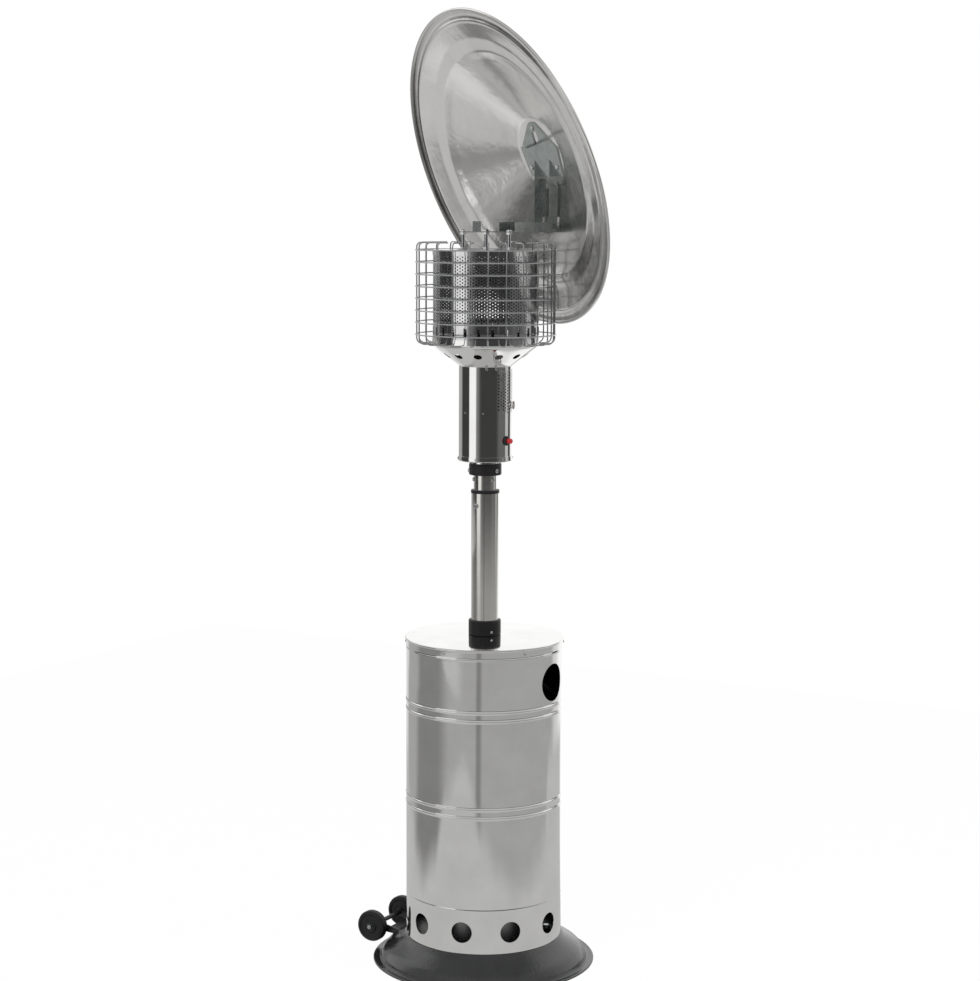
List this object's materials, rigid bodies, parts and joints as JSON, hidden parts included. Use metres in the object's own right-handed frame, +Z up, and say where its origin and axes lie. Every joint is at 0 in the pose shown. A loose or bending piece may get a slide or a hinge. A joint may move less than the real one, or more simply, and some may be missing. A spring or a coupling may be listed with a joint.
{
  "type": "patio heater",
  "caption": "Free-standing gas patio heater with a round stainless bottle barrel, telescopic post, wire-guarded burner head and a tilting spun-aluminium reflector.",
  "frame": {"origin": "on the floor, on the post's axis, at the underside of the base pan", "axes": "+Z up along the post, front (hand hole, gas knob and igniter) towards -Y, transport wheels towards +Y"},
  "size_m": [0.4997, 0.6378, 2.0824],
  "materials": {
    "hammertone": "hammered gloss",
    "black_paint": "satin",
    "black_plastic": "satin",
    "white_plastic": "satin",
    "polished_steel": "mirror polished",
    "satin_steel": "satin",
    "dull_steel": "dull",
    "emitter_steel": "polished",
    "bright_wire": "bright",
    "zinc": "zinc plated",
    "dark_screw": "blackened",
    "spun_aluminium": "spun satin",
    "brass": "as machined",
    "brown_plastic": "satin",
    "red_plastic": "gloss"
  },
  "bodies": {
    "stand": {"base_pan": "hammertone", "wheel_bracket": "black_paint", "wheel_axle": "zinc", "support_legs": "black_paint", "leg_bolts": "zinc", "post_socket": "black_paint", "lower_post": "satin_steel", "post_cap_ring": "black_plastic", "height_screw": "dark_screw"},
    "barrel": {"barrel_shell": "polished_steel", "barrel_lid": "polished_steel", "lid_screws": "dark_screw", "barrel_collar": "black_plastic", "barrel_collar_screw": "dark_screw"},
    "mast": {"upper_post": "satin_steel", "post_guide_ring": "white_plastic", "upper_post_screws": "dark_screw", "top_collar": "black_plastic", "top_collar_screws": "dark_screw", "housing_base": "polished_steel", "head_housing": "polished_steel", "housing_screws": "dark_screw", "valve_shelf": "zinc", "shelf_rivets": "zinc", "control_valve": "brass", "igniter_body": "black_plastic", "mixer_tube": "dull_steel", "burner_bowl": "polished_steel", "bowl_screws": "dark_screw", "burner_plate": "dull_steel", "burner_head": "dull_steel", "pilot_probes": "dull_steel", "emitter_screen": "emitter_steel", "emitter_cap": "emitter_steel", "guard_rings": "bright_wire", "guard_wires": "bright_wire", "hinge_studs": "bright_wire", "hinge_frame": "zinc", "hinge_pin": "bright_wire"},
    "reflector": {"reflector_bracket": "zinc", "bracket_screws": "dark_screw", "reflector": "spun_aluminium"},
    "knob": {"valve_knob": "brown_plastic"},
    "button": {"igniter_button": "red_plastic"},
    "wheel_left": {"left_wheel": "black_plastic"},
    "wheel_right": {"right_wheel": "black_plastic"}
  },
  "joints": [
    {"name": "barrel_lift", "type": "slide", "parent": "stand", "child": "barrel", "axis": [0, 0, 1], "range_m": [0, 0.245]},
    {"name": "mast_height", "type": "slide", "parent": "stand", "child": "mast", "axis": [0, 0, 1], "range_m": [0, 0.295]},
    {"name": "reflector_tilt", "type": "hinge", "parent": "mast", "child": "reflector", "pos_m": [0.13042, -0.07409, 1.6252], "axis": [-0.4939, -0.8695, 0], "range_deg": [0, 69]},
    {"name": "knob_turn", "type": "hinge", "parent": "mast", "child": "knob", "pos_m": [0, 0, 1.2402], "axis": [0.2924, -0.9563, 0], "range_deg": [0, 180]},
    {"name": "igniter_press", "type": "slide", "parent": "mast", "child": "button", "axis": [0.1564, 0.9877, 0], "range_m": [0, 0.004], "stiffness_N_per_m": 600},
    {"name": "left_wheel_spin", "type": "hinge", "parent": "stand", "child": "wheel_left", "pos_m": [-0.064, 0.254, 0.047], "axis": [1, 0, 0], "continuous": true},
    {"name": "right_wheel_spin", "type": "hinge", "parent": "stand", "child": "wheel_right", "pos_m": [0.064, 0.254, 0.047], "axis": [1, 0, 0], "continuous": true}
  ]
}
